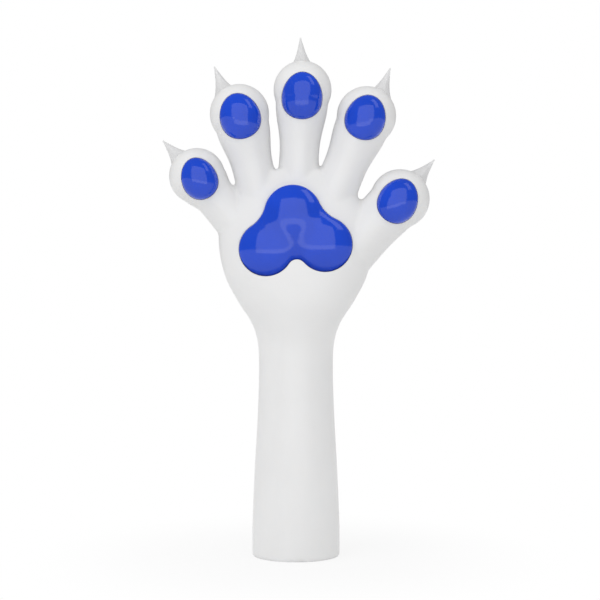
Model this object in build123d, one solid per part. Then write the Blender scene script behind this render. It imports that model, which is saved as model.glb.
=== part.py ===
"""Hand-held cat-paw pet scratcher.

A hollow paw on a forearm-shaped handle, moulded as a palm shell and a back shell that seven
screws hold together, with soft push-in pads and claws and a pull-out bung in the handle's foot.

The origin is the centre of the base face. +Z runs up the handle, and the palm faces -Y, so +X is
on the right of someone who looks at the palm. Toes are numbered from left to right.
"""
from build123d import *
from collections import namedtuple
from math import copysign, cos, pi, radians, sin, sqrt
import os

os.makedirs("parts", exist_ok=True)

# ---- Handle -----------------------------------------------------------------------------------
HANDLE_L = 98.0             # base face to wrist
BASE_W = 40.2               # across the foot of the handle
BASE_D = 37.0
WRIST_W = 34.2              # across the wrist
WRIST_D = 30.4
BASE_ROUND = 2.2            # rounding of the bottom edge

# ---- Palm -------------------------------------------------------------------------------------
PALM_H = 84.0               # wrist to the crown between the toes
PALM_W = 72.0
PALM_D = 35.0
PALM_SQUARENESS = 2.5       # superellipse power of the palm's section, 2 at the handle
# Rise above the wrist, half width and half depth, as shares of PALM_H, PALM_W / 2 and PALM_D / 2.
PALM_FORM = [
    (0.09, 0.54, 0.90),
    (0.20, 0.70, 0.97),
    (0.33, 0.88, 1.00),
    (0.47, 0.97, 0.95),
    (0.61, 0.98, 0.85),
    (0.74, 0.87, 0.76),
    (0.86, 0.68, 0.68),
    (0.98, 0.34, 0.60),
]

# ---- Toes -------------------------------------------------------------------------------------
# bulb_x, bulb_rise: centre of the end bulb, from the middle plane and above the wrist
# lean: degrees from upright, to the right; stem_r, neck: slimmest radius and its distance below
# the bulb's centre; root: length of the stem below the bulb's centre
Toe = namedtuple("Toe", "bulb_x bulb_rise bulb_r lean stem_r neck root")
TOES = [
    Toe(-45.5, 76.3, 12.6, -41.0, 10.0, 20.0, 36.0),
    Toe(-26.0, 104.9, 13.5, -14.0, 10.3, 24.0, 46.0),
    Toe(3.0, 115.9, 13.2, 2.9, 9.5, 26.0, 52.0),
    Toe(32.4, 103.9, 13.5, 23.0, 10.6, 24.0, 46.0),
    Toe(47.8, 65.8, 13.3, 44.5, 11.6, 19.0, 36.0),
]
ROOT_FLARE = 1.6            # extra radius of a stem where it enters the palm
BULB_TURN = 24.0            # degrees below the bulb's middle where the stem takes over

# ---- Shells -----------------------------------------------------------------------------------
WALL = 2.0
FOOT_T = 3.6                # thickness of the closed foot of the handle
FIT = 0.1                   # clearance of pads, claws and spigots in their seats

# ---- Toe pads ---------------------------------------------------------------------------------
# half_w, half_l: half sizes of the oval; tilt: degrees from upright, to the right;
# slip: distance from the bulb's centre down the toe to the pad's centre
ToePad = namedtuple("ToePad", "half_w half_l tilt slip")
TOE_PADS = [
    ToePad(8.1, 9.6, -21.0, 2.6),
    ToePad(9.2, 10.4, -15.0, 2.5),
    ToePad(9.2, 10.6, 2.5, 4.2),
    ToePad(9.1, 10.3, 17.7, 2.2),
    ToePad(8.9, 10.4, 25.7, 2.3),
]
TOE_POCKET_INSET = 6.0      # pocket floor below the front of the bulb
TOE_PAD_CROWN = 2.0         # pad's face above the toe's surface

# ---- Palm pad ---------------------------------------------------------------------------------
# Lobe: x, rise above the wrist, radius
Lobe = namedtuple("Lobe", "x rise r")
TOP_LOBE = Lobe(-1.4, 58.6, 13.4)
LEFT_LOBE = Lobe(-13.4, 43.0, 12.3)
RIGHT_LOBE = Lobe(13.2, 45.4, 12.3)
NOTCH_R = 4.2               # hollow between the two lower lobes
VALLEY_R = 8.0              # hollow between the top lobe and each lower lobe
PALM_POCKET_Y = 10.5        # pocket floor, in front of the split plane
PALM_PAD_CROWN_Y = 18.6     # pad's crown, in front of the split plane
PALM_PAD_EDGE_DROP = 2.4    # the crown plane above the pad's rim
PALM_PAD_ROUND = 2.2        # rounding of the pad's upper edge

# ---- Pad studs --------------------------------------------------------------------------------
POCKET_FLOOR_T = 1.8
STUD_R = 2.4
STUD_HEAD_R = 3.5
STUD_HEAD_T = 1.5

# ---- Claws ------------------------------------------------------------------------------------
# around: degrees from upright of the claw's seat on the bulb; lean: degrees of the claw itself
Claw = namedtuple("Claw", "around lean base_r length")
CLAWS = [
    Claw(-44.6, -43.5, 4.6, 11.4),
    Claw(-33.5, -19.0, 4.4, 12.6),
    Claw(0.5, -1.0, 4.3, 12.4),
    Claw(32.2, 20.0, 4.5, 12.6),
    Claw(41.0, 42.0, 4.6, 12.0),
]
CLAW_SEAT_Y = 4.6           # seat behind the split plane
CLAW_HOOK = 8.0             # degrees that a claw leans towards the palm side
CLAW_TIP_R = 0.3
CLAW_SINK = 1.8             # blank's reach below the seat, before it is cut to the bulb
CLAW_SLIM = 0.42            # share of the base radius left half way up the claw
CLAW_NECK_R = 2.0
CLAW_HEAD_R = 3.0
CLAW_HEAD_T = 1.4
CLAW_NECK_LAP = 1.0         # the neck's reach into the claw, past the bulb's surface
CLAW_SEAT_GAP = 0.05

# ---- Screws -----------------------------------------------------------------------------------
HANDLE_SCREW_RISES = [24.0, 70.0]       # above the base face, on the middle plane
HEEL_SCREW_X = 17.0
HEEL_SCREW_RISE = 19.0                  # above the wrist
TOE_SCREWS = [(0, 23.0), (2, 33.0), (4, 23.0)]   # toe, distance below its bulb's centre
SCREW_SEAT_Y = 5.4          # head's seat behind the split plane
SCREW_HEAD_R = 2.8
SCREW_HEAD_T = 1.9
SCREW_CORE_R = 1.2
SCREW_REACH = 6.6           # screw's end in front of the split plane
CROSS_L = 3.2
CROSS_W = 0.8
CROSS_DEPTH = 1.1
WELL_R = 3.5
SCREW_HOLE_R = 1.6
PILOT_R = 1.25
PILOT_EXTRA = 0.6           # pilot hole beyond the screw's end
BOSS_WALL = 1.5
SPIGOT_R = 2.6
SPIGOT_H = 1.4

# ---- End bung ---------------------------------------------------------------------------------
PLUG_GAP = 0.25             # running clearance of the bung in the foot
PLUG_FLANGE_R = 14.6
PLUG_FLANGE_T = 1.8
PLUG_SPIGOT_R = 12.2
PLUG_SPIGOT_L = 11.0        # above the flange
PLUG_WALL = 1.8
PLUG_ROUND = 0.8
SLOT_L = 13.0               # finger-nail slot across the flange
SLOT_W = 2.4
SLOT_DEPTH = 0.9

SECTION_POINTS = 16
CLEAR = 60.0                # length of a cutter that passes right through a shell


# ---- Form of the whole body -------------------------------------------------------------------
def section(z, half_w, half_d, power):
    """A closed superellipse across the body at height z."""
    points = []
    for step in range(SECTION_POINTS):
        angle = 2 * pi * step / SECTION_POINTS
        c = cos(angle)
        s = sin(angle)
        x = half_w * copysign(abs(c) ** (2 / power), c)
        y = half_d * copysign(abs(s) ** (2 / power), s)
        points.append((x, y, z))
    return Wire([Edge.make_spline(points, periodic=True)])


def trunk(inset):
    """Handle and palm in one smooth loft, every section drawn in by inset."""
    sections = []
    for share in (0.0, 0.14, 0.42, 0.72, 1.0):
        ease = 0.5 * (1 + cos(pi * share))
        half_w = (WRIST_W + (BASE_W - WRIST_W) * ease) / 2
        half_d = (WRIST_D + (BASE_D - WRIST_D) * ease) / 2
        sections.append(section(share * HANDLE_L, half_w - inset, half_d - inset, 2.0))
    for rise, wide, deep in PALM_FORM:
        power = 2.0 + (PALM_SQUARENESS - 2.0) * min(1.0, 2.5 * rise)
        half_w = wide * PALM_W / 2 - inset
        half_d = deep * PALM_D / 2 - inset
        sections.append(section(HANDLE_L + rise * PALM_H, half_w, half_d, power))
    return Solid.make_loft(sections)


def bulb_centre(toe):
    return Vector(toe.bulb_x, 0, HANDLE_L + toe.bulb_rise)


def toe_body(toe, inset):
    """A stem that runs into a round bulb, turned about the toe's own axis."""
    bulb_r = toe.bulb_r - inset
    stem_r = toe.stem_r - inset
    root_r = stem_r + ROOT_FLARE
    turn = radians(BULB_TURN)
    join = (bulb_r * cos(turn), -bulb_r * sin(turn))
    crown_turn = radians(45 - BULB_TURN / 2)
    side = Spline(
        (root_r, -toe.root), (stem_r, -toe.neck), join, tangents=[(-0.1, 1), (sin(turn), cos(turn))]
    )
    crown = ThreePointArc(join, (bulb_r * cos(crown_turn), bulb_r * sin(crown_turn)), (0, bulb_r))
    spine = Line((0, bulb_r), (0, -toe.root))
    root = Line((0, -toe.root), (root_r, -toe.root))
    profile = make_face([side, crown, spine, root])
    body = revolve(Plane.XZ * profile, Axis.Z)
    return Pos(bulb_centre(toe)) * Rot(0, toe.lean, 0) * body


def whole_form(inset):
    form = Part() + trunk(inset)
    for toe in TOES:
        form += toe_body(toe, inset)
    return form


# ---- Helpers along the Y axis -----------------------------------------------------------------
def rod_y(x, z, radius, y_from, y_to):
    """A round bar along Y."""
    disc = Plane(origin=(x, y_from, z), x_dir=(1, 0, 0), z_dir=(0, 1, 0)) * Circle(radius)
    return extrude(disc, y_to - y_from)


def prism_y(outline, y_from, y_to):
    """An outline, drawn in X and Z, carried along Y."""
    plane = Plane(origin=(0, y_from, 0), x_dir=(1, 0, 0), z_dir=(0, -1, 0))
    return extrude(plane * outline, y_from - y_to)


def slab(y_from, y_to, z_from, z_to):
    return Pos(0, (y_from + y_to) / 2, (z_from + z_to) / 2) * Box(4 * CLEAR, y_to - y_from, z_to - z_from)


# ---- Pads -------------------------------------------------------------------------------------
def pad_centre(toe, pad):
    """Centre of a toe pad, a little nearer to the palm than the bulb's centre."""
    lean = radians(toe.lean)
    return bulb_centre(toe) - Vector(sin(lean), 0, cos(lean)) * pad.slip


def toe_outline(toe, pad, grow):
    centre = pad_centre(toe, pad)
    oval = Ellipse(pad.half_w + grow, pad.half_l + grow)
    return Pos(centre.X, centre.Z) * Rot(0, 0, -pad.tilt) * oval


def lobe_centre(lobe):
    return Vector(lobe.x, HANDLE_L + lobe.rise)


def hollow_arc(first, second, radius, grow):
    """The hollow arc that runs from one lobe into the next, tangent to both of them."""
    start = lobe_centre(first)
    ahead = lobe_centre(second) - start
    span = ahead.length
    ahead = ahead.normalized()
    to_first = first.r + radius
    to_second = second.r + radius
    along = (to_first**2 - to_second**2 + span**2) / (2 * span)
    aside = sqrt(to_first**2 - along**2)
    centre = start + ahead * along + Vector(-ahead.Y, ahead.X) * aside
    towards_first = (start - centre).normalized()
    towards_second = (lobe_centre(second) - centre).normalized()
    middle = (towards_first + towards_second).normalized()
    reach = radius - grow
    points = [centre + side * reach for side in (towards_first, middle, towards_second)]
    return ThreePointArc(*points)


def palm_outline(grow):
    """Three lobes run together by a notch below and a valley on each side, grown all round."""
    lobes = [LEFT_LOBE, TOP_LOBE, RIGHT_LOBE]
    radii = [VALLEY_R, VALLEY_R, NOTCH_R]
    hollows = []
    for index, radius in enumerate(radii):
        hollows.append(hollow_arc(lobes[index], lobes[(index + 1) % 3], radius, grow))
    middle = (lobe_centre(LEFT_LOBE) + lobe_centre(TOP_LOBE) + lobe_centre(RIGHT_LOBE)) / 3
    rounds = []
    for index, lobe in enumerate(lobes):
        outward = (lobe_centre(lobe) - middle).normalized()
        far = lobe_centre(lobe) + outward * (lobe.r + grow)
        rounds.append(ThreePointArc(hollows[index - 1] @ 1, far, hollows[index] @ 0))
    return make_face(hollows + rounds)


def pad_stud(x, z, floor_y):
    """Stud through the pocket floor, with a head that snaps in behind it."""
    back = floor_y + POCKET_FLOOR_T
    return rod_y(x, z, STUD_R, floor_y, back) + rod_y(x, z, STUD_HEAD_R, back, back + STUD_HEAD_T)


def toe_floor_y(toe):
    return TOE_POCKET_INSET - toe.bulb_r


def toe_pad(toe, pad):
    """A pad whose face follows the toe's surface at an even height."""
    centre = pad_centre(toe, pad)
    floor_y = toe_floor_y(toe)
    block = prism_y(toe_outline(toe, pad, 0), floor_y, -CLEAR)
    swollen_toe = toe_body(toe, -TOE_PAD_CROWN)
    return (block & swollen_toe) + pad_stud(centre.X, centre.Z, floor_y)


def palm_stud_places():
    return [(lobe.x, HANDLE_L + lobe.rise) for lobe in (LEFT_LOBE, TOP_LOBE, RIGHT_LOBE)]


def palm_pad():
    rim_y = -PALM_PAD_CROWN_Y + PALM_PAD_EDGE_DROP
    body = prism_y(palm_outline(0), -PALM_POCKET_Y, rim_y)
    body = fillet(body.faces().sort_by(Axis.Y)[0].edges(), PALM_PAD_ROUND)
    for lobe in (LEFT_LOBE, TOP_LOBE, RIGHT_LOBE):
        swell_r = lobe.r - PALM_PAD_ROUND
        dome_r = (swell_r**2 + PALM_PAD_EDGE_DROP**2) / (2 * PALM_PAD_EDGE_DROP)
        dome = Pos(lobe.x, -PALM_PAD_CROWN_Y + dome_r, HANDLE_L + lobe.rise) * Sphere(dome_r)
        core = rod_y(lobe.x, HANDLE_L + lobe.rise, swell_r, rim_y, -PALM_PAD_CROWN_Y)
        body += core & dome
    for x, z in palm_stud_places():
        body += pad_stud(x, z, -PALM_POCKET_Y)
    return body


# ---- Claws ------------------------------------------------------------------------------------
def claw_seat(toe, claw):
    """Centre of the claw's seat on the bulb, and the outward direction there."""
    flat = sqrt(toe.bulb_r**2 - CLAW_SEAT_Y**2)
    around = radians(claw.around)
    out = Vector(flat * sin(around), CLAW_SEAT_Y, flat * cos(around))
    return bulb_centre(toe) + out, out.normalized()


def claw_neck(toe, claw_size, grow):
    """The claw's neck through the bulb's wall, grown for its hole."""
    seat, out = claw_seat(toe, claw_size)
    inner = sqrt((toe.bulb_r - WALL - CLAW_SEAT_GAP) ** 2 - CLAW_HEAD_R**2)
    base = Plane(origin=bulb_centre(toe) + out * inner, z_dir=out)
    return extrude(base * Circle(CLAW_NECK_R + grow), toe.bulb_r - inner + CLAW_NECK_LAP)


def claw(toe, claw_size):
    seat, out = claw_seat(toe, claw_size)
    side = Spline(
        (claw_size.base_r, -CLAW_SINK),
        (claw_size.base_r * CLAW_SLIM, claw_size.length * 0.5),
        (CLAW_TIP_R, claw_size.length),
        tangents=[(-0.3, 1), (-0.12, 1)],
    )
    tip = Line((CLAW_TIP_R, claw_size.length), (0, claw_size.length))
    spine = Line((0, claw_size.length), (0, -CLAW_SINK))
    foot = Line((0, -CLAW_SINK), (claw_size.base_r, -CLAW_SINK))
    blade = revolve(Plane.XZ * make_face([side, tip, spine, foot]), Axis.Z)
    blade = Pos(seat) * Rot(0, claw_size.lean, 0) * Rot(CLAW_HOOK, 0, 0) * blade
    blade -= Pos(bulb_centre(toe)) * Sphere(toe.bulb_r + CLAW_SEAT_GAP)
    neck = claw_neck(toe, claw_size, 0)
    inner = neck.faces().sort_by(Axis(bulb_centre(toe), out))[0]
    head = extrude(Plane(origin=inner.center(), z_dir=-out) * Circle(CLAW_HEAD_R), CLAW_HEAD_T)
    return blade + neck + head


# ---- Screws and their bosses ------------------------------------------------------------------
def screw_places():
    places = [(0, rise) for rise in HANDLE_SCREW_RISES]
    places += [(side * HEEL_SCREW_X, HANDLE_L + HEEL_SCREW_RISE) for side in (-1, 1)]
    for index, below in TOE_SCREWS:
        centre = bulb_centre(TOES[index])
        lean = radians(TOES[index].lean)
        places.append((centre.X - below * sin(lean), centre.Z - below * cos(lean)))
    return places


def screw(x, z):
    head_y = SCREW_SEAT_Y + SCREW_HEAD_T
    head = rod_y(x, z, SCREW_HEAD_R, SCREW_SEAT_Y, head_y)
    head = fillet(head.edges().sort_by(Axis.Y)[-1], SCREW_HEAD_T * 0.45)
    for size in ((CROSS_L, CROSS_W), (CROSS_W, CROSS_L)):
        head -= Pos(x, head_y - CROSS_DEPTH / 2, z) * Box(size[0], CROSS_DEPTH, size[1])
    return head + rod_y(x, z, SCREW_CORE_R, -SCREW_REACH, SCREW_SEAT_Y)


# ---- Bung -------------------------------------------------------------------------------------
def end_plug():
    flange = extrude(Circle(PLUG_FLANGE_R), PLUG_FLANGE_T)
    spigot = Pos(0, 0, PLUG_FLANGE_T) * extrude(Circle(PLUG_SPIGOT_R), PLUG_SPIGOT_L)
    spigot = fillet(spigot.edges().sort_by(Axis.Z)[-1], PLUG_ROUND)
    hollow = extrude(Circle(PLUG_SPIGOT_R - PLUG_WALL), PLUG_SPIGOT_L)
    slot = Box(SLOT_L, SLOT_W, 2 * SLOT_DEPTH)
    return flange + spigot - Pos(0, 0, PLUG_FLANGE_T) * hollow - slot


def foot_opening():
    flange = extrude(Circle(PLUG_FLANGE_R + PLUG_GAP), PLUG_FLANGE_T)
    return flange + extrude(Circle(PLUG_SPIGOT_R + PLUG_GAP), 2 * FOOT_T)


# ---- Shells -----------------------------------------------------------------------------------
def cavity():
    top = HANDLE_L + 3 * PALM_H
    return whole_form(WALL) & slab(-CLEAR, CLEAR, FOOT_T, top)


def palm_shell(solid_form, hollow_form):
    shell = solid_form - hollow_form
    extras = Part()
    cuts = Part() + foot_opening()
    for toe, pad in zip(TOES, TOE_PADS):
        centre = pad_centre(toe, pad)
        floor_y = toe_floor_y(toe)
        back = floor_y + POCKET_FLOOR_T
        extras += prism_y(toe_outline(toe, pad, WALL), back, -CLEAR)
        cuts += prism_y(toe_outline(toe, pad, FIT), floor_y, -CLEAR)
        cuts += rod_y(centre.X, centre.Z, STUD_R + FIT, floor_y, back)
    extras += prism_y(palm_outline(WALL), -PALM_POCKET_Y + POCKET_FLOOR_T, -CLEAR)
    cuts += prism_y(palm_outline(FIT), -PALM_POCKET_Y, -CLEAR)
    for x, z in palm_stud_places():
        cuts += rod_y(x, z, STUD_R + FIT, -PALM_POCKET_Y, -PALM_POCKET_Y + POCKET_FLOOR_T)
    for x, z in screw_places():
        extras += rod_y(x, z, PILOT_R + BOSS_WALL, -CLEAR, 0)
        cuts += rod_y(x, z, PILOT_R, -SCREW_REACH - PILOT_EXTRA, 0)
    shell = (shell + (extras & solid_form)) & slab(-CLEAR, 0, -1, 3 * CLEAR + HANDLE_L)
    shell -= cuts
    for x, z in screw_places():
        shell += rod_y(x, z, SPIGOT_R, 0, SPIGOT_H) - rod_y(x, z, PILOT_R, 0, SPIGOT_H)
    return shell


def back_shell(solid_form, hollow_form):
    shell = solid_form - hollow_form
    extras = Part()
    cuts = Part() + foot_opening()
    for x, z in screw_places():
        extras += rod_y(x, z, WELL_R + BOSS_WALL, 0, CLEAR)
        cuts += rod_y(x, z, WELL_R, SCREW_SEAT_Y, CLEAR)
        cuts += rod_y(x, z, SCREW_HOLE_R, 0, SCREW_SEAT_Y)
        cuts += rod_y(x, z, SPIGOT_R + FIT, 0, SPIGOT_H + FIT)
    for toe, claw_size in zip(TOES, CLAWS):
        cuts += claw_neck(toe, claw_size, FIT)
    shell = (shell + (extras & solid_form)) & slab(0, CLEAR, -1, 3 * CLEAR + HANDLE_L)
    return shell - cuts


# ---- Build ------------------------------------------------------------------------------------
solid_form = whole_form(0)
solid_form = fillet(solid_form.faces().sort_by(Axis.Z)[0].edges(), BASE_ROUND)
hollow_form = cavity()

nodes = {
    "palm_shell": palm_shell(solid_form, hollow_form),
    "back_shell": back_shell(solid_form, hollow_form),
    "palm_pad": palm_pad(),
    "shell_screws": Compound(children=[screw(x, z) for x, z in screw_places()]),
    "end_plug": end_plug(),
}
for number, (toe, pad, claw_size) in enumerate(zip(TOES, TOE_PADS, CLAWS), start=1):
    nodes[f"toe_pad_{number}"] = toe_pad(toe, pad)
    nodes[f"claw_{number}"] = claw(toe, claw_size)

for name, piece in nodes.items():
    export_step(piece, f"parts/{name}.step")
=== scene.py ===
"""Looks of a hand-held cat-paw pet scratcher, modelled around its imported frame.

The white body is one smooth form, hollowed and parted into a palm shell and a back shell. Soft
blue pads sit in pockets in the palm shell, and pale claws stand on the toes. Lengths in the
tables are in millimetres; everything that reaches Blender is in metres.
"""
from collections import namedtuple
from math import atan2, cos, exp, hypot, log, pi, radians, sin, sqrt

import bmesh
import bpy
from mathutils import Matrix, Vector


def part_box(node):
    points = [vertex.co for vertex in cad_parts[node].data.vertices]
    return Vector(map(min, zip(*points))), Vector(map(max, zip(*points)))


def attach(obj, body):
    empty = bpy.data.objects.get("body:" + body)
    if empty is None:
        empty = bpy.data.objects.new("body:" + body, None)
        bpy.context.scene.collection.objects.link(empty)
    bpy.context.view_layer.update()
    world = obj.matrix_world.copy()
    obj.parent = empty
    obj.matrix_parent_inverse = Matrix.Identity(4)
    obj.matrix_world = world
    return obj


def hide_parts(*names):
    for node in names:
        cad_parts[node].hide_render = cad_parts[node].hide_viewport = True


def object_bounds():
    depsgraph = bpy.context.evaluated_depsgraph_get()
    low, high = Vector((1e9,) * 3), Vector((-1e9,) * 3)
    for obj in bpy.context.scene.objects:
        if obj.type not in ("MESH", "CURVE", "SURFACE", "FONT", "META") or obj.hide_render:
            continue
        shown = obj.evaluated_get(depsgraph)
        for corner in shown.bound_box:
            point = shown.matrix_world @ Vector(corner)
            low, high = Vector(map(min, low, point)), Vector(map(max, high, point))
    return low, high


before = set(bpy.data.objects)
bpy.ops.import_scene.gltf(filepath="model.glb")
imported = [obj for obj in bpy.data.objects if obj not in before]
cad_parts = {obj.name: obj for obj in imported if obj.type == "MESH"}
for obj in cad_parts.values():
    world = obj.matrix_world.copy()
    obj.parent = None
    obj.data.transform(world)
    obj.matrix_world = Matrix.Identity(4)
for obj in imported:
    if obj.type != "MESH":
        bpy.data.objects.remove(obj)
CAD_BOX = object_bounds()

bl_info = {
    "name": "Cat Paw Scratcher",
    "version": (1, 0, 0),
    "blender": (4, 5, 0),
    "location": "View3D > Sidebar > Cat Paw",
    "description": "Shells, pads, claws and finishes of a cat-paw pet scratcher",
    "category": "Add Mesh",
}

MM = 0.001
BODY = "paw"
PAD_NODES = ["toe_pad_1", "toe_pad_2", "toe_pad_3", "toe_pad_4", "toe_pad_5"]
CLAW_NODES = ["claw_1", "claw_2", "claw_3", "claw_4", "claw_5"]

# Height, half width, half depth and forward shift of the handle and palm.
Station = namedtuple("Station", "z half_w half_d forward")
TRUNK = [
    Station(0.0, 20.0, 18.4, 0.0),
    Station(14.0, 20.0, 18.1, 0.0),
    Station(39.0, 19.0, 17.2, 0.0),
    Station(67.0, 17.5, 16.0, 0.0),
    Station(87.0, 17.0, 15.2, 0.0),
    Station(98.0, 17.6, 15.2, 0.2),
    Station(107.0, 20.4, 15.9, 0.8),
    Station(116.0, 26.2, 16.7, 1.2),
    Station(127.0, 32.0, 16.6, 1.2),
    Station(139.0, 35.0, 15.8, 0.8),
    Station(150.0, 35.2, 14.4, 0.2),
    Station(160.0, 31.4, 12.6, 0.0),
    Station(169.0, 24.6, 10.4, 0.0),
    Station(177.0, 14.0, 7.2, 0.0),
]
PALM_SQUARENESS = 2.5
SQUARE_FROM = 98.0
SQUARE_TO = 130.0

# Bulb radius, lean from upright to the right in degrees, slimmest stem radius, its distance
# below the bulb's centre, and the stem's length.
Toe = namedtuple("Toe", "bulb_r lean stem_r neck root")
TOES = [
    Toe(12.9, -41.0, 9.5, 14.0, 36.0),
    Toe(13.7, -14.0, 9.5, 27.0, 46.0),
    Toe(13.4, 2.9, 9.1, 30.0, 52.0),
    Toe(13.7, 23.0, 10.0, 27.0, 46.0),
    Toe(13.7, 44.5, 11.9, 18.0, 36.0),
]
ROOT_FLARE = 0.8

# Oval half sizes, tilt from upright to the right in degrees, and distance from the bulb's centre
# down the toe of each toe pad.
ToePad = namedtuple("ToePad", "half_w half_l tilt slip")
TOE_PADS = [
    ToePad(8.1, 9.6, -21.0, 2.6),
    ToePad(9.2, 10.4, -15.0, 2.5),
    ToePad(9.2, 10.6, 2.5, 4.2),
    ToePad(9.1, 10.3, 17.7, 2.2),
    ToePad(8.9, 10.4, 25.7, 2.3),
]

# Centre and radius of each lobe of the palm pad.
Lobe = namedtuple("Lobe", "x z r")
PALM_LOBES = [Lobe(-13.4, 140.3, 12.3), Lobe(-1.4, 156.4, 12.9), Lobe(13.0, 142.4, 12.5)]
NOTCH_R = 4.2
VALLEY_R = 15.0
PAD_HEART = (-0.6, 147.0)
LOBE_DOME_R = 32.0
LOBE_MELT = 1.0

# Seat on the bulb and lean in degrees from upright, base radius and length of each claw.
Claw = namedtuple("Claw", "around lean base_r length")
CLAWS = [
    Claw(-44.6, -43.5, 6.2, 11.2),
    Claw(-33.5, -22.0, 6.0, 12.6),
    Claw(-1.5, -3.0, 5.6, 12.2),
    Claw(32.2, 20.0, 6.0, 12.6),
    Claw(41.0, 42.0, 6.2, 11.7),
]
CLAW_SEAT_Y = 4.6

# Screw wells in the back shell, as x and z.
HANDLE_WELLS = [(0.0, 24.0), (0.0, 70.0)]
HEEL_WELLS = [(-17.0, 117.0), (17.0, 117.0)]
TOE_WELLS = [(0, 23.0), (2, 33.0), (4, 23.0)]


# ---- Settings ---------------------------------------------------------------------------------
class PawSizes(bpy.types.PropertyGroup):
    wall: bpy.props.FloatProperty(
        name="Wall", description="Thickness of both shells", default=2.0 * MM, unit="LENGTH"
    )
    grain: bpy.props.FloatProperty(
        name="Form grain", description="Voxel of the body form", default=0.8 * MM, unit="LENGTH"
    )
    melt: bpy.props.IntProperty(
        name="Melt", description="Smoothing passes that round the webs between the toes", default=9
    )
    foot: bpy.props.FloatProperty(
        name="Foot", description="Thickness of the closed foot", default=3.6 * MM, unit="LENGTH"
    )
    parting: bpy.props.FloatProperty(
        name="Parting", description="Half of the parting line's gap",
        default=0.06 * MM, unit="LENGTH",
    )
    fit: bpy.props.FloatProperty(
        name="Fit", description="Gap round the pads in their pockets",
        default=0.12 * MM, unit="LENGTH",
    )


class PadSizes(bpy.types.PropertyGroup):
    crown: bpy.props.FloatProperty(
        name="Toe pad crown", description="Height of a toe pad above its toe", default=1.9 * MM,
        unit="LENGTH",
    )
    rim_sink: bpy.props.FloatProperty(
        name="Rim sink", description="Depth of a toe pad's rim in its pocket",
        default=0.4 * MM, unit="LENGTH",
    )
    palm_crown: bpy.props.FloatProperty(
        name="Palm pad crown", description="Front of the palm pad's domes",
        default=18.4 * MM, unit="LENGTH",
    )
    egg: bpy.props.FloatProperty(
        name="Egg", description="Share by which a toe pad narrows towards its claw", default=0.10
    )


class PawColours(bpy.types.PropertyGroup):
    shell: bpy.props.FloatVectorProperty(
        name="Shells", description="White plastic", size=3, subtype="COLOR",
        default=(0.82, 0.82, 0.82),
    )
    pad: bpy.props.FloatVectorProperty(
        name="Pads", description="Soft blue rubber", size=3, subtype="COLOR",
        default=(0.006, 0.062, 0.62),
    )
    claw: bpy.props.FloatVectorProperty(
        name="Claws", description="Pale claw plastic", size=3, subtype="COLOR",
        default=(0.74, 0.74, 0.745),
    )
    bung: bpy.props.FloatVectorProperty(
        name="Bung", description="Grey rubber", size=3, subtype="COLOR", default=(0.52, 0.53, 0.54)
    )
    steel: bpy.props.FloatVectorProperty(
        name="Screws", description="Zinc-plated steel", size=3, subtype="COLOR",
        default=(0.60, 0.60, 0.59),
    )


class StageSettings(bpy.types.PropertyGroup):
    view_angle: bpy.props.FloatProperty(
        name="View angle", description="Camera's field of view",
        default=radians(25.0), subtype="ANGLE",
    )
    distance: bpy.props.FloatProperty(
        name="Distance", description="Camera to the middle of the paw",
        default=0.6225, unit="LENGTH",
    )
    aim_x: bpy.props.FloatProperty(
        name="Aim across", description="Camera's place across", default=1.84 * MM, unit="LENGTH"
    )
    aim_z: bpy.props.FloatProperty(
        name="Aim height", description="Camera's height", default=117.3 * MM, unit="LENGTH"
    )
    sky: bpy.props.FloatProperty(name="Sky", description="Strength of the even light", default=0.82)
    sky_sheen: bpy.props.FloatProperty(
        name="Sky sheen", description="Strength of the even light in reflections", default=0.25
    )
    key: bpy.props.FloatProperty(
        name="Key", description="Brightness of the front softbox", default=0.30
    )
    card: bpy.props.FloatProperty(
        name="Card", description="Brightness that the front softbox adds in reflections",
        default=0.85,
    )
    top: bpy.props.FloatProperty(
        name="Top", description="Brightness of the upper left softbox", default=1.3
    )
    edge: bpy.props.FloatProperty(
        name="Edge", description="Brightness of the upper right softbox", default=1.3
    )


# ---- Mesh helpers -----------------------------------------------------------------------------
def new_piece(name, bm):
    """Makes an object of a bmesh, at the origin, with smooth faces."""
    mesh = bpy.data.meshes.new(name)
    for face in bm.faces:
        face.smooth = True
    bm.to_mesh(mesh)
    bm.free()
    piece = bpy.data.objects.new(name, mesh)
    bpy.context.scene.collection.objects.link(piece)
    return piece


def duplicate(piece):
    """A copy of a piece with a mesh of its own."""
    twin = piece.copy()
    twin.data = piece.data.copy()
    bpy.context.scene.collection.objects.link(twin)
    return twin


def merge_into(bm, part):
    """Adds a bmesh to another one, and frees it."""
    mesh = bpy.data.meshes.new("part")
    part.to_mesh(mesh)
    part.free()
    bm.from_mesh(mesh)
    bpy.data.meshes.remove(mesh)


def settle(piece):
    """Applies every modifier of a piece to its mesh."""
    graph = bpy.context.evaluated_depsgraph_get()
    mesh = bpy.data.meshes.new_from_object(piece.evaluated_get(graph), depsgraph=graph)
    old = piece.data
    piece.modifiers.clear()
    piece.data = mesh
    bpy.data.meshes.remove(old)


def combine(piece, tool, operation):
    """Joins, cuts or keeps the common part of two closed pieces, and removes the tool."""
    change = piece.modifiers.new("combine", "BOOLEAN")
    change.operation = operation
    change.solver = "MANIFOLD"
    change.object = tool
    settle(piece)
    bpy.data.objects.remove(tool)


def turn_profile(bm, profile, steps):
    """Turns a profile of (radius, height) points a full turn about Z, closed at both ends."""
    verts = [bm.verts.new((r, 0, z)) for r, z in profile]
    edges = [bm.edges.new(pair) for pair in zip(verts, verts[1:])]
    bmesh.ops.spin(
        bm, geom=verts + edges, cent=(0, 0, 0), axis=(0, 0, 1), angle=2 * pi, steps=steps,
        use_merge=True,
    )
    bmesh.ops.remove_doubles(bm, verts=bm.verts, dist=1e-7)
    bmesh.ops.recalc_face_normals(bm, faces=bm.faces)


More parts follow.
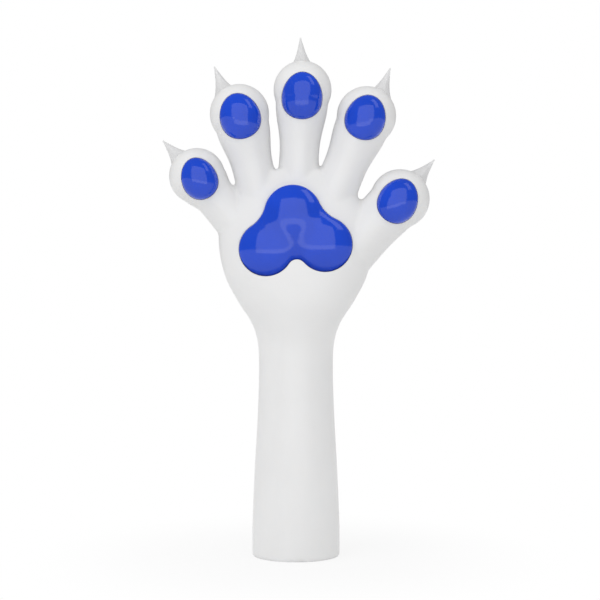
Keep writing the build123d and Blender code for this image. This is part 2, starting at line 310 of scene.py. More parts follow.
def rod(name, x, z, radius, y_from, y_to, end_radius=None, segments=48):
    """A round bar along Y, as wide as end_radius at its far end."""
    bm = bmesh.new()
    far = radius if end_radius is None else end_radius
    bmesh.ops.create_cone(
        bm, cap_ends=True, segments=segments, radius1=radius, radius2=far, depth=y_to - y_from
    )
    lay_down = Matrix.Translation((x, (y_from + y_to) / 2, z)) @ Matrix.Rotation(-pi / 2, 4, "X")
    bmesh.ops.transform(bm, matrix=lay_down, verts=bm.verts)
    bmesh.ops.recalc_face_normals(bm, faces=bm.faces)
    return new_piece(name, bm)


def block(name, low, high):
    """A box between two corners."""
    bm = bmesh.new()
    bmesh.ops.create_cube(bm, size=1.0)
    size = Vector(high) - Vector(low)
    middle = (Vector(high) + Vector(low)) / 2
    bmesh.ops.scale(bm, vec=size, verts=bm.verts)
    bmesh.ops.translate(bm, vec=middle, verts=bm.verts)
    return new_piece(name, bm)


def prism(name, outline, y_from, y_to):
    """An outline of (x, z) points carried along Y."""
    bm = bmesh.new()
    ring = bmesh.ops.create_circle(bm, cap_ends=True, segments=len(outline), radius=1.0)["verts"]
    for vert, (x, z) in zip(ring, outline):
        vert.co = (x, y_from, z)
    grown = bmesh.ops.extrude_face_region(bm, geom=list(bm.faces))["geom"]
    moved = [item for item in grown if isinstance(item, bmesh.types.BMVert)]
    bmesh.ops.translate(bm, vec=(0, y_to - y_from, 0), verts=moved)
    bmesh.ops.recalc_face_normals(bm, faces=bm.faces)
    return new_piece(name, bm)


def curve_through(table, z, value):
    """A smooth curve through a table's stations, read at height z."""
    last = len(table) - 1
    index = 0
    while index < last - 1 and z > table[index + 1].z:
        index += 1
    before, start = table[max(index - 1, 0)], table[index]
    end, after = table[index + 1], table[min(index + 2, last)]
    span = end.z - start.z
    t = min(max((z - start.z) / span, 0.0), 1.0)
    into = (value(end) - value(before)) / (end.z - before.z) * span
    out = (value(after) - value(start)) / (after.z - start.z) * span
    t2 = t * t
    t3 = t2 * t
    return (
        (2 * t3 - 3 * t2 + 1) * value(start)
        + (t3 - 2 * t2 + t) * into
        + (3 * t2 - 2 * t3) * value(end)
        + (t3 - t2) * out
    )


# ---- Places, read from the frame --------------------------------------------------------------
def node_middle(node):
    low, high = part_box(node)
    return (low + high) / 2


def toe_axis(index):
    lean = radians(TOES[index].lean)
    return Vector((sin(lean), 0, cos(lean)))


def pad_centre(index):
    middle = node_middle(PAD_NODES[index])
    return Vector((middle.x, 0, middle.z))


def bulb_centre(index):
    return pad_centre(index) + toe_axis(index) * TOE_PADS[index].slip * MM


def well_places():
    places = [(x * MM, z * MM) for x, z in HANDLE_WELLS + HEEL_WELLS]
    for index, below in TOE_WELLS:
        centre = bulb_centre(index)
        down = toe_axis(index) * below * MM
        places.append((centre.x - down.x, centre.z - down.z))
    return places


# ---- Body form --------------------------------------------------------------------------------
TRUNK_LEVELS = 90
TRUNK_SIDES = 72
# Degrees below the bulb's equator at which the stem takes over, and how late the stem swells.
BULB_TURN = 26.0
STEM_SWELL = 1.25
BULB_STEPS = 18
STEM_STEPS = 28
TOE_SPIN = 48


def add_trunk(bm):
    """The handle and palm: a ring drawn up level by level, then fitted to the stations."""
    ring = bmesh.ops.create_circle(bm, cap_ends=True, segments=TRUNK_SIDES, radius=1.0)["verts"]
    edges = list({edge for vert in ring for edge in vert.link_edges})
    for _ in range(TRUNK_LEVELS):
        grown = bmesh.ops.extrude_edge_only(bm, edges=edges)["geom"]
        verts = [item for item in grown if isinstance(item, bmesh.types.BMVert)]
        edges = [item for item in grown if isinstance(item, bmesh.types.BMEdge)]
        bmesh.ops.translate(bm, vec=(0, 0, 1), verts=verts)
    bmesh.ops.holes_fill(bm, edges=edges, sides=0)
    top = TRUNK[-1].z
    for vert in bm.verts:
        z = top * vert.co.z / TRUNK_LEVELS
        half_w = curve_through(TRUNK, z, lambda station: station.half_w)
        half_d = curve_through(TRUNK, z, lambda station: station.half_d)
        forward = curve_through(TRUNK, z, lambda station: station.forward)
        share = min(max((z - SQUARE_FROM) / (SQUARE_TO - SQUARE_FROM), 0.0), 1.0)
        power = 2.0 / (2.0 + (PALM_SQUARENESS - 2.0) * share)
        x = half_w * abs(vert.co.x) ** power * (1 if vert.co.x > 0 else -1)
        y = half_d * abs(vert.co.y) ** power * (1 if vert.co.y > 0 else -1) - forward
        vert.co = (x * MM, y * MM, z * MM)
    bmesh.ops.recalc_face_normals(bm, faces=bm.faces)


def toe_radius(toe, height):
    """Radius of a toe at a height above its bulb's centre: flared root, stem, then bulb."""
    turn = radians(BULB_TURN)
    join_z = -toe.bulb_r * sin(turn)
    if height >= join_z:
        return sqrt(max(toe.bulb_r**2 - height**2, 0.0))
    if height >= -toe.neck:
        share = (height + toe.neck) / (toe.neck + join_z)
        ease = 0.5 * (1 - cos(pi * share))
        return toe.stem_r + (toe.bulb_r * cos(turn) - toe.stem_r) * ease**STEM_SWELL
    share = (height + toe.root) / (toe.root - toe.neck)
    return toe.stem_r + ROOT_FLARE * 0.5 * (1 + cos(pi * share))


def toe_profile(toe):
    """Radius and height points of a toe, from its root up over its bulb."""
    points = [(0.0, -toe.root)]
    for step in range(STEM_STEPS + 1):
        height = -toe.root + (toe.root - toe.bulb_r * sin(radians(BULB_TURN))) * step / STEM_STEPS
        points.append((toe_radius(toe, height), height))
    for step in range(1, BULB_STEPS):
        turn = radians(BULB_TURN) * (1 - step / BULB_STEPS) - pi / 2 * step / BULB_STEPS
        points.append((toe.bulb_r * cos(turn), -toe.bulb_r * sin(turn)))
    points.append((0.0, toe.bulb_r))
    return [(r * MM, z * MM) for r, z in points]


def toe_front(index, x, z):
    """Front of a toe's surface at a place given from its bulb's centre, in metres."""
    axis = toe_axis(index)
    along = x * axis.x + z * axis.z
    across = x * axis.z - z * axis.x
    radius = toe_radius(TOES[index], along / MM) * MM
    return -sqrt(max(radius**2 - across**2, 0.0))


def body_form(name, sizes):
    """One smooth closed form: trunk and toes run together and melted at the webs."""
    bm = bmesh.new()
    add_trunk(bm)
    for index, toe in enumerate(TOES):
        part = bmesh.new()
        turn_profile(part, toe_profile(toe), TOE_SPIN)
        place = Matrix.Translation(bulb_centre(index)) @ Matrix.Rotation(radians(toe.lean), 4, "Y")
        bmesh.ops.transform(part, matrix=place, verts=part.verts)
        merge_into(bm, part)
    form = new_piece(name, bm)
    remesh = form.modifiers.new("remesh", "REMESH")
    remesh.mode = "VOXEL"
    remesh.voxel_size = sizes.grain
    smooth = form.modifiers.new("melt", "SMOOTH")
    smooth.factor = 0.5
    smooth.iterations = sizes.melt
    settle(form)
    return form


def inner_form(form, sizes):
    """The hollow: the body form drawn in by the wall, above the closed foot."""
    hollow = duplicate(form)
    bm = bmesh.new()
    bm.from_mesh(hollow.data)
    bm.normal_update()
    for vert in bm.verts:
        vert.co -= vert.normal * sizes.wall
    bm.to_mesh(hollow.data)
    bm.free()
    low, high = CAD_BOX
    combine(hollow, block("above_foot", (low[0], low[1], sizes.foot), high), "INTERSECT")
    return hollow


# ---- Pad outlines -----------------------------------------------------------------------------
OUTLINE_STEPS = 144


def toe_outline_point(pad, angle, grow, egg):
    """A point of a toe pad's egg outline about its middle, in metres."""
    across = (pad.half_w * MM + grow) * cos(angle)
    along = (pad.half_l * MM + grow) * sin(angle)
    across *= 1 - egg * sin(angle)
    tilt = radians(pad.tilt)
    return across * cos(tilt) + along * sin(tilt), along * cos(tilt) - across * sin(tilt)


Hollow = namedtuple("Hollow", "x z r start end")


def hollow_between(first, second, radius):
    """The hollow arc tangent to two lobes, and the directions from the heart that it covers."""
    span = hypot(second.x - first.x, second.z - first.z)
    ahead_x = (second.x - first.x) / span
    ahead_z = (second.z - first.z) / span
    to_first = first.r + radius
    to_second = second.r + radius
    along = (to_first**2 - to_second**2 + span**2) / (2 * span)
    aside = sqrt(to_first**2 - along**2)
    x = first.x + ahead_x * along - ahead_z * aside
    z = first.z + ahead_z * along + ahead_x * aside
    turns = []
    for lobe in (first, second):
        share = radius / (radius + lobe.r)
        touch_x = x + (lobe.x - x) * share - PAD_HEART[0]
        touch_z = z + (lobe.z - z) * share - PAD_HEART[1]
        turns.append(atan2(touch_z, touch_x))
    return Hollow(x, z, radius, turns[0], turns[1])


def palm_hollows():
    left, top, right = PALM_LOBES
    return [
        hollow_between(left, top, VALLEY_R),
        hollow_between(top, right, VALLEY_R),
        hollow_between(right, left, NOTCH_R),
    ]


def ray_to_circle(angle, x, z, radius, far):
    """Distance from the heart to a circle in one direction, at its far or near side."""
    dx = x - PAD_HEART[0]
    dz = z - PAD_HEART[1]
    along = dx * cos(angle) + dz * sin(angle)
    aside = dx * sin(angle) - dz * cos(angle)
    inside = radius**2 - aside**2
    if inside <= 0 or along <= 0:
        return 0.0
    return along + sqrt(inside) if far else along - sqrt(inside)


def palm_reach(angle, grow):
    """How far the palm pad reaches from its heart in one direction."""
    grow = grow / MM
    for hollow in palm_hollows():
        span = (hollow.start - hollow.end) % (2 * pi)
        if (hollow.start - angle) % (2 * pi) < span:
            near = ray_to_circle(angle, hollow.x, hollow.z, hollow.r - grow, False)
            if near > 0:
                return near * MM
    reaches = [ray_to_circle(angle, lobe.x, lobe.z, lobe.r + grow, True) for lobe in PALM_LOBES]
    return max(reaches) * MM


def palm_outline(grow):
    points = []
    for step in range(OUTLINE_STEPS):
        angle = 2 * pi * step / OUTLINE_STEPS
        reach = palm_reach(angle, grow)
        x = PAD_HEART[0] * MM + reach * cos(angle)
        z = PAD_HEART[1] * MM + reach * sin(angle)
        points.append((x, z))
    return points


def toe_outline(index, grow, egg):
    centre = pad_centre(index)
    points = []
    for step in range(OUTLINE_STEPS):
        x, z = toe_outline_point(TOE_PADS[index], 2 * pi * step / OUTLINE_STEPS, grow, egg)
        points.append((centre.x + x, centre.z + z))
    return points


# ---- Shells -----------------------------------------------------------------------------------
POCKET_FLOOR_T = 1.8
TOE_POCKET_INSET = 6.0
PALM_POCKET_Y = 10.5
WELL_R = 3.5
WELL_SEAT_Y = 5.4
SCREW_HOLE_R = 1.6
BOSS_WALL = 1.5
PILOT_R = 1.25
PILOT_END_Y = 7.2
PLUG_FLANGE_R = 14.85
PLUG_FLANGE_T = 1.8
PLUG_BORE_R = 12.45
PLUG_BORE_END = 8.0
BELOW_FOOT = -2.0
FOOT_SPIN = 96
# How far the bosses reach forward as a share of the pilot hole, and how far they cross the parting.
BOSS_REACH = 1.4
BOSS_LAP = 1.0
BOX_MARGIN = 5.0
THROUGH = 40.0
SHELL_CREASE = radians(38)


def toe_floor_y(index):
    return (TOE_POCKET_INSET - TOES[index].bulb_r) * MM


def foot_cutter():
    """The stepped opening in the foot for the bung, as a turned shape along Z."""
    bm = bmesh.new()
    profile = [
        (0.0, BELOW_FOOT),
        (PLUG_FLANGE_R, BELOW_FOOT),
        (PLUG_FLANGE_R, PLUG_FLANGE_T),
        (PLUG_BORE_R, PLUG_FLANGE_T),
        (PLUG_BORE_R, PLUG_BORE_END),
        (0.0, PLUG_BORE_END),
    ]
    turn_profile(bm, [(r * MM, z * MM) for r, z in profile], FOOT_SPIN)
    return new_piece("foot_cutter", bm)


def half_space(side, sizes):
    """The palm's side (-1) or the back's side (1) of the parting line."""
    low, high = CAD_BOX
    margin = BOX_MARGIN * MM
    near = sizes.parting * side
    far = (low[1] - margin) if side < 0 else (high[1] + margin)
    corner = (low[0] - margin, min(near, far), low[2] - margin)
    opposite = (high[0] + margin, max(near, far), high[2] + margin)
    return block("half", corner, opposite)


def common(form, tool):
    """The part of a tool that lies inside the body form."""
    inside = duplicate(form)
    combine(inside, tool, "INTERSECT")
    return inside


def make_palm_shell(form, hollow, sizes, pads):
    """The front half, with a seat and a pocket for each pad and a pilot hole for each screw."""
    shell = duplicate(form)
    shell.name = "palm_shell_moulding"
    combine(shell, duplicate(hollow), "DIFFERENCE")
    front = -THROUGH * MM
    for index in range(len(TOES)):
        floor = toe_floor_y(index)
        seat_outline = toe_outline(index, sizes.wall, pads.egg)
        seat = prism("seat", seat_outline, front, floor + POCKET_FLOOR_T * MM)
        combine(shell, common(form, seat), "UNION")
        pocket = prism("pocket", toe_outline(index, sizes.fit, pads.egg), front, floor)
        combine(shell, pocket, "DIFFERENCE")
    floor = -PALM_POCKET_Y * MM
    seat = prism("seat", palm_outline(sizes.wall), front, floor + POCKET_FLOOR_T * MM)
    combine(shell, common(form, seat), "UNION")
    combine(shell, prism("pocket", palm_outline(sizes.fit), front, floor), "DIFFERENCE")
    for x, z in well_places():
        reach = -PILOT_END_Y * BOSS_REACH * MM
        boss = rod("boss", x, z, (PILOT_R + BOSS_WALL) * MM, reach, BOSS_LAP * MM)
        combine(shell, common(form, boss), "UNION")
    combine(shell, foot_cutter(), "DIFFERENCE")
    combine(shell, half_space(-1, sizes), "INTERSECT")
    for x, z in well_places():
        pilot = rod("pilot", x, z, PILOT_R * MM, -PILOT_END_Y * MM, BOSS_LAP * MM)
        combine(shell, pilot, "DIFFERENCE")
    return shell


def make_back_shell(form, hollow, sizes):
    """The rear half, with a well and a screw hole at each screw. It uses up the hollow."""
    shell = duplicate(form)
    shell.name = "back_shell_moulding"
    combine(shell, hollow, "DIFFERENCE")
    for x, z in well_places():
        boss = rod("boss", x, z, (WELL_R + BOSS_WALL) * MM, -BOSS_LAP * MM, THROUGH * MM)
        combine(shell, common(form, boss), "UNION")
    combine(shell, foot_cutter(), "DIFFERENCE")
    combine(shell, half_space(1, sizes), "INTERSECT")
    for x, z in well_places():
        well = rod("well", x, z, WELL_R * MM, WELL_SEAT_Y * MM, THROUGH * MM)
        combine(shell, well, "DIFFERENCE")
        hole = rod("hole", x, z, SCREW_HOLE_R * MM, -BOSS_LAP * MM, THROUGH * MM)
        combine(shell, hole, "DIFFERENCE")
    return shell


def crisp(piece, angle):
    """Smooth shading that keeps the corners sharper than the angle."""
    for polygon in piece.data.polygons:
        polygon.use_smooth = True
    piece.data.set_sharp_from_angle(angle=angle)


# ---- Pads -------------------------------------------------------------------------------------
PAD_SPIN = 96
PAD_STEPS = 26
PAD_CREASE = radians(50)
# Powers of the curve over a pad: 2 is an ellipse, and more is flatter with a tighter edge.
TOE_EDGE_ROUND = 2.1
PALM_EDGE_ROUND = 3.4
PALM_RIM_Y = 12.6
RIM_LEVEL = -0.01
STUD_R = 2.4
STUD_HEAD_R = 3.5
STUD_HEAD_T = 1.5
STUD_LAP = 0.4
STUD_SPIN = 32


def pad_profile(edge_round):
    """Share of the way out, and share of the height above the rim, over the top of a pad."""
    points = []
    for step in range(PAD_STEPS + 1):
        turn = (pi / 2) * step / PAD_STEPS
        out = sin(turn)
        height = (1 - out**edge_round) ** (1 / edge_round)
        points.append((out, height))
    return points


def spun_pad(edge_round):
    """A disc of unit radius, domed above z 0 and closed below by a wall and a floor."""
    bm = bmesh.new()
    skirt = [(1.0, -0.5), (1.0, -0.97), (0.985, -1.0), (0.6, -1.0), (0.0, -1.0)]
    turn_profile(bm, pad_profile(edge_round) + skirt, PAD_SPIN)
    return bm


def add_stud(bm, x, z, floor_y):
    """The stud and its snap head, behind a pad's floor."""
    floor = POCKET_FLOOR_T
    profile = [
        (0.0, STUD_LAP),
        (STUD_R, STUD_LAP),
        (STUD_R, -floor),
        (STUD_HEAD_R - 0.4, -floor),
        (STUD_HEAD_R, -floor - 0.3),
        (STUD_HEAD_R - 0.9, -floor - STUD_HEAD_T),
        (0.0, -floor - STUD_HEAD_T),
    ]
    part = bmesh.new()
    turn_profile(part, [(r * MM, h * MM) for r, h in profile], STUD_SPIN)
    face_forward = Matrix.Translation((x, floor_y, z)) @ Matrix.Rotation(pi / 2, 4, "X")
    bmesh.ops.transform(part, matrix=face_forward, verts=part.verts)
    merge_into(bm, part)


def make_toe_pad(index, sizes):
    """An egg-shaped dome that stands proud of the bulb, with a rim that follows it."""
    pad = TOE_PADS[index]
    centre = pad_centre(index)
    slip = centre - bulb_centre(index)
    floor_y = toe_floor_y(index)
    front_y = toe_front(index, 0.0, 0.0) - sizes.crown
    bm = spun_pad(TOE_EDGE_ROUND)
    for vert in bm.verts:
        out = hypot(vert.co.x, vert.co.y)
        angle = atan2(vert.co.y, vert.co.x)
        edge_x, edge_z = toe_outline_point(pad, angle, 0.0, sizes.egg)
        x = out * edge_x
        z = out * edge_z
        rim = toe_front(index, edge_x + slip.x, edge_z + slip.z) + sizes.rim_sink
        if vert.co.z > RIM_LEVEL:
            y = rim + (front_y - rim) * vert.co.z
        else:
            y = rim + (floor_y - rim) * min(-vert.co.z, 1.0)
        vert.co = (centre.x + x, y, centre.z + z)
    add_stud(bm, centre.x, centre.z, floor_y)
    bmesh.ops.recalc_face_normals(bm, faces=bm.faces)
    piece = new_piece(f"blue_toe_pad_{index + 1}", bm)
    crisp(piece, PAD_CREASE)
    return piece


def palm_swell(x, z, sizes):
    """Front of the palm pad at a point: a shallow dome over each lobe, run softly together."""
    total = 0.0
    for lobe in PALM_LOBES:
        away = hypot(x / MM - lobe.x, z / MM - lobe.z)
        total += exp(-(away**2) / (2 * LOBE_DOME_R * LOBE_MELT))
    return sizes.palm_crown + LOBE_MELT * log(total) * MM


def make_palm_pad(sizes):
    """The three-lobed pad, domed over each lobe and rounded down into its pocket."""
    floor_y = -PALM_POCKET_Y * MM
    bm = spun_pad(PALM_EDGE_ROUND)
    rim_y = -PALM_RIM_Y * MM
    for vert in bm.verts:
        out = hypot(vert.co.x, vert.co.y)
        angle = atan2(vert.co.y, vert.co.x)
        reach = palm_reach(angle, 0.0) * out
        x = PAD_HEART[0] * MM + reach * cos(angle)
        z = PAD_HEART[1] * MM + reach * sin(angle)
        if vert.co.z > RIM_LEVEL:
            y = rim_y - vert.co.z * (palm_swell(x, z, sizes) + rim_y)
        else:
            y = rim_y + (floor_y - rim_y) * min(-vert.co.z, 1.0)
        vert.co = (x, y, z)
    for lobe in PALM_LOBES:
        add_stud(bm, lobe.x * MM, lobe.z * MM, floor_y)
    bmesh.ops.recalc_face_normals(bm, faces=bm.faces)
    piece = new_piece("blue_palm_pad", bm)
    crisp(piece, PAD_CREASE)
    return piece


# ---- Claws ------------------------------------------------------------------------------------
CLAW_STEPS = 22
CLAW_SINK = 1.6
CLAW_CURL = 1.1
CLAW_BED = 0.9
CLAW_HOOK = radians(6.0)
CLAW_SPIN = 40
# A claw's radius is a flare that dies out quickly plus a taper, with a least radius up to its tip.
CLAW_FLARE = 0.45
CLAW_FLARE_POWER = 3
CLAW_TAPER = 0.55
CLAW_TAPER_POWER = 0.8
CLAW_LEAST_R = 0.42
CLAW_TIP_R = 0.3
CLAW_TIP_DROP = 0.15


def make_claw(index):
    """A thorn with a flared base that hooks slightly towards the palm."""
    size = CLAWS[index]
    profile = [(0.0, -CLAW_SINK)]
    for step in range(CLAW_STEPS):
        share = step / CLAW_STEPS
        left = 1 - share
        slimness = CLAW_FLARE * left**CLAW_FLARE_POWER + CLAW_TAPER * left**CLAW_TAPER_POWER
        radius = max(size.base_r * slimness, CLAW_LEAST_R)
        profile.append((radius, -CLAW_SINK + (size.length + CLAW_SINK) * share))
    profile.append((CLAW_TIP_R, size.length - CLAW_TIP_DROP))
    profile.append((0.0, size.length))
    bm = bmesh.new()
    turn_profile(bm, [(r * MM, z * MM) for r, z in profile], CLAW_SPIN)
    length = size.length * MM
    foot = [vert for vert in bm.verts if vert.co.z < (0.01 - CLAW_SINK) * MM]
    for vert in bm.verts:
        share = max(vert.co.z, 0.0) / length
        vert.co.y -= CLAW_CURL * MM * share**2
    bulb = TOES[index].bulb_r
    flat = sqrt(bulb**2 - CLAW_SEAT_Y**2)
    around = radians(size.around)
    seat = bulb_centre(index) + Vector((flat * sin(around), CLAW_SEAT_Y, flat * cos(around))) * MM
    stand = Matrix.Translation(seat) @ Matrix.Rotation(radians(size.lean), 4, "Y")
    stand = stand @ Matrix.Rotation(CLAW_HOOK, 4, "X")
    bmesh.ops.transform(bm, matrix=stand, verts=bm.verts)
    centre = bulb_centre(index)
    for vert in foot:
        vert.co = centre + (vert.co - centre).normalized() * (bulb - CLAW_BED) * MM
    bmesh.ops.recalc_face_normals(bm, faces=bm.faces)
    return new_piece(f"pale_claw_{index + 1}", bm)


# ---- Materials --------------------------------------------------------------------------------
def add_node(tree, kind, place, **values):
    node = tree.nodes.new(kind)
    node.location = place
    for key, value in values.items():
        setattr(node, key, value)
    return node


def group_socket(group, name, direction, kind, default=None):
    socket = group.interface.new_socket(name=name, in_out=direction, socket_type=kind)
    if default is not None:
        socket.default_value = default
    return socket


def moulded_skin_group():
    """Fine texture of a moulded surface: a mottle mask and the height of its orange peel."""
    group = bpy.data.node_groups.new("moulded_skin", "ShaderNodeTree")
    group_socket(group, "Peel Scale", "INPUT", "NodeSocketFloat", 900.0)
    group_socket(group, "Mottle Scale", "INPUT", "NodeSocketFloat", 60.0)
    group_socket(group, "Mottle", "OUTPUT", "NodeSocketFloat")
    group_socket(group, "Height", "OUTPUT", "NodeSocketFloat")
    start = add_node(group, "NodeGroupInput", (-800, 0))
    end = add_node(group, "NodeGroupOutput", (400, 0))
    place = add_node(group, "ShaderNodeTexCoord", (-800, -240))
    peel = add_node(group, "ShaderNodeTexNoise", (-400, -200))
    peel.inputs["Detail"].default_value = 2.0
    mottle = add_node(group, "ShaderNodeTexNoise", (-400, 160))
    mottle.inputs["Detail"].default_value = 4.0
    soften = add_node(group, "ShaderNodeMapRange", (0, 160))
    soften.inputs["From Min"].default_value = 0.32
    soften.inputs["From Max"].default_value = 0.68
    link = group.links.new
    link(place.outputs["Object"], peel.inputs["Vector"])
    link(place.outputs["Object"], mottle.inputs["Vector"])
    link(start.outputs["Peel Scale"], peel.inputs["Scale"])
    link(start.outputs["Mottle Scale"], mottle.inputs["Scale"])
    link(mottle.outputs["Fac"], soften.inputs["Value"])
    link(soften.outputs["Result"], end.inputs["Mottle"])
    link(peel.outputs["Fac"], end.inputs["Height"])
    return group


def rubbed_specks_group():
    """Sparse fine specks, as dust and handling leave on rubber and plastic."""
    group = bpy.data.node_groups.new("rubbed_specks", "ShaderNodeTree")
    group_socket(group, "Speck Scale", "INPUT", "NodeSocketFloat", 1400.0)
    group_socket(group, "Threshold", "INPUT", "NodeSocketFloat", 0.06)
    group_socket(group, "Specks", "OUTPUT", "NodeSocketFloat")
    start = add_node(group, "NodeGroupInput", (-800, 0))
    end = add_node(group, "NodeGroupOutput", (400, 0))
    place = add_node(group, "ShaderNodeTexCoord", (-800, -240))
    cells = add_node(group, "ShaderNodeTexVoronoi", (-400, 0))
    mask = add_node(group, "ShaderNodeMath", (-100, 0), operation="LESS_THAN")
    link = group.links.new
    link(place.outputs["Object"], cells.inputs["Vector"])
    link(start.outputs["Speck Scale"], cells.inputs["Scale"])
    link(cells.outputs["Distance"], mask.inputs[0])
    link(start.outputs["Threshold"], mask.inputs[1])
    link(mask.outputs["Value"], end.inputs["Specks"])
    return group


def group_named(name):
    makers = {"moulded_skin": moulded_skin_group, "rubbed_specks": rubbed_specks_group}
    return bpy.data.node_groups.get(name) or makers[name]()


def blank_material(name, colour):
    material = bpy.data.materials.new(name)
    material.use_nodes = True
    material.diffuse_color = (*colour, 1.0)
    shader = material.node_tree.nodes["Principled BSDF"]
    return material, material.node_tree, shader


def place_group(tree, name, place, **values):
    node = add_node(tree, "ShaderNodeGroup", place)
    node.node_tree = group_named(name)
    for key, value in values.items():
        node.inputs[key.replace("_", " ")].default_value = value
    return node


def tint(tree, factor, plain, toned, place):
    """Mixes two colours by a mask."""
    mix = add_node(tree, "ShaderNodeMix", place, data_type="RGBA")
    mix.inputs["A"].default_value = (*plain, 1.0)
    mix.inputs["B"].default_value = (*toned, 1.0)
    tree.links.new(factor, mix.inputs["Factor"])
    return mix.outputs["Result"]


def dusted(tree, base, specks, colour):
    """Lays specks of a dust colour over a base colour."""
    dust = add_node(tree, "ShaderNodeMix", (-350, 100), data_type="RGBA")
    dust.inputs["B"].default_value = (*colour, 1.0)
    tree.links.new(base, dust.inputs["A"])
    tree.links.new(specks.outputs["Specks"], dust.inputs["Factor"])
    return dust.outputs["Result"]


def mottled_roughness(tree, shader, skin, low, high):
    """Lets the roughness run between two values with the skin's mottle."""
    node = add_node(tree, "ShaderNodeMapRange", (-350, -100))
    node.inputs["To Min"].default_value = low
    node.inputs["To Max"].default_value = high
    tree.links.new(skin.outputs["Mottle"], node.inputs["Value"])
    tree.links.new(node.outputs["Result"], shader.inputs["Roughness"])


def set_inputs(shader, values):
    for name, value in values.items():
        shader.inputs[name].default_value = value


def shaded(colour, share):
    return tuple(channel * share for channel in colour)


def skin_bump(tree, shader, height, depth):
    bump = add_node(tree, "ShaderNodeBump", (-200, -400))
    bump.inputs["Strength"].default_value = 0.6
    bump.inputs["Distance"].default_value = depth
    tree.links.new(height, bump.inputs["Height"])
    tree.links.new(bump.outputs["Normal"], shader.inputs["Normal"])


def shell_material(colours):
    """Satin white plastic with a faint mottle, fine peel and stray dust."""
    colour = tuple(colours.shell)
    material, tree, shader = blank_material("white_shell_plastic", colour)
    skin = place_group(tree, "moulded_skin", (-900, 0), Peel_Scale=1100.0, Mottle_Scale=45.0)
    specks = place_group(tree, "rubbed_specks", (-900, -300), Speck_Scale=420.0, Threshold=0.03)
    base = tint(tree, skin.outputs["Mottle"], colour, shaded(colour, 0.975), (-600, 100))
    tree.links.new(dusted(tree, base, specks, shaded(colour, 0.86)), shader.inputs["Base Color"])
    mottled_roughness(tree, shader, skin, 0.34, 0.40)
    set_inputs(shader, {
        "IOR": 1.46,
        "Subsurface Weight": 0.10,
        "Subsurface Radius": (1.0, 0.9, 0.8),
        "Subsurface Scale": 1.2 * MM,
    })
    skin_bump(tree, shader, skin.outputs["Height"], 0.012 * MM)
    return material


def pad_material(colours):
    """Glossy blue rubber, a touch deeper in places, with a clean wet-looking coat."""
    colour = tuple(colours.pad)
    material, tree, shader = blank_material("blue_pad_rubber", colour)
    skin = place_group(tree, "moulded_skin", (-900, 0), Peel_Scale=700.0, Mottle_Scale=90.0)
    specks = place_group(tree, "rubbed_specks", (-900, -300), Speck_Scale=520.0, Threshold=0.025)
    base = tint(tree, skin.outputs["Mottle"], colour, shaded(colour, 0.90), (-600, 100))
    tree.links.new(dusted(tree, base, specks, (0.05, 0.11, 0.55)), shader.inputs["Base Color"])
    mottled_roughness(tree, shader, skin, 0.07, 0.11)
    shader.inputs["IOR"].default_value = 1.5
    skin_bump(tree, shader, skin.outputs["Height"], 0.003 * MM)
    return material


def claw_material(colours):
    """Pale, faintly see-through plastic with a faint mottle."""
    colour = tuple(colours.claw)
    material, tree, shader = blank_material("pale_claw_plastic", colour)
    skin = place_group(tree, "moulded_skin", (-900, 0), Peel_Scale=900.0, Mottle_Scale=260.0)
    base = tint(tree, skin.outputs["Mottle"], colour, shaded(colour, 0.93), (-600, 100))
    tree.links.new(base, shader.inputs["Base Color"])
    mottled_roughness(tree, shader, skin, 0.24, 0.32)
    set_inputs(shader, {
        "IOR": 1.46,
        "Subsurface Weight": 0.45,
        "Subsurface Radius": (1.0, 1.0, 1.0),
        "Subsurface Scale": 2.0 * MM,
    })
    skin_bump(tree, shader, skin.outputs["Height"], 0.006 * MM)
    return material


def bung_material(colours):
    """Matt grey rubber with a dusty bloom."""
    colour = tuple(colours.bung)
    material, tree, shader = blank_material("grey_bung_rubber", colour)
    skin = place_group(tree, "moulded_skin", (-900, 0), Peel_Scale=1500.0, Mottle_Scale=120.0)
    specks = place_group(tree, "rubbed_specks", (-900, -300), Speck_Scale=600.0, Threshold=0.05)
    base = tint(tree, skin.outputs["Mottle"], colour, shaded(colour, 0.9), (-600, 100))
    tree.links.new(dusted(tree, base, specks, shaded(colour, 1.25)), shader.inputs["Base Color"])
    mottled_roughness(tree, shader, skin, 0.55, 0.68)
    skin_bump(tree, shader, skin.outputs["Height"], 0.02 * MM)
    return material


def steel_material(colours):
    """Zinc-plated steel with a fine grain and a worn bloom."""
    colour = tuple(colours.steel)
    material, tree, shader = blank_material("zinc_screw_steel", colour)
    skin = place_group(tree, "moulded_skin", (-900, 0), Peel_Scale=2400.0, Mottle_Scale=500.0)
    base = tint(tree, skin.outputs["Mottle"], colour, shaded(colour, 0.78), (-600, 100))
    tree.links.new(base, shader.inputs["Base Color"])
    mottled_roughness(tree, shader, skin, 0.22, 0.38)
    shader.inputs["Metallic"].default_value = 1.0
    skin_bump(tree, shader, skin.outputs["Height"], 0.01 * MM)
    return material


def material_named(name):
    """The finish of that name, made on first use."""
    makers = {
        "white_shell_plastic": shell_material,
        "blue_pad_rubber": pad_material,
        "pale_claw_plastic": claw_material,
        "grey_bung_rubber": bung_material,
        "zinc_screw_steel": steel_material,
    }
    return bpy.data.materials.get(name) or makers[name](bpy.context.scene.paw_colours)


def dress(piece, material_name):
    piece.data.materials.clear()
    piece.data.materials.append(material_named(material_name))


# ---- Operators --------------------------------------------------------------------------------
class PAW_OT_stage(bpy.types.Operator):
    """Floor, lights and camera for a frontal studio view"""

    bl_idname = "paw.stage"
    bl_label = "Stage"

    def execute(self, context):
        stage = context.scene.paw_stage
        build_floor()
        build_sky(stage)
        build_lights(stage)
        build_camera(stage)
        context.scene.view_settings.view_transform = "Standard"
        return {"FINISHED"}


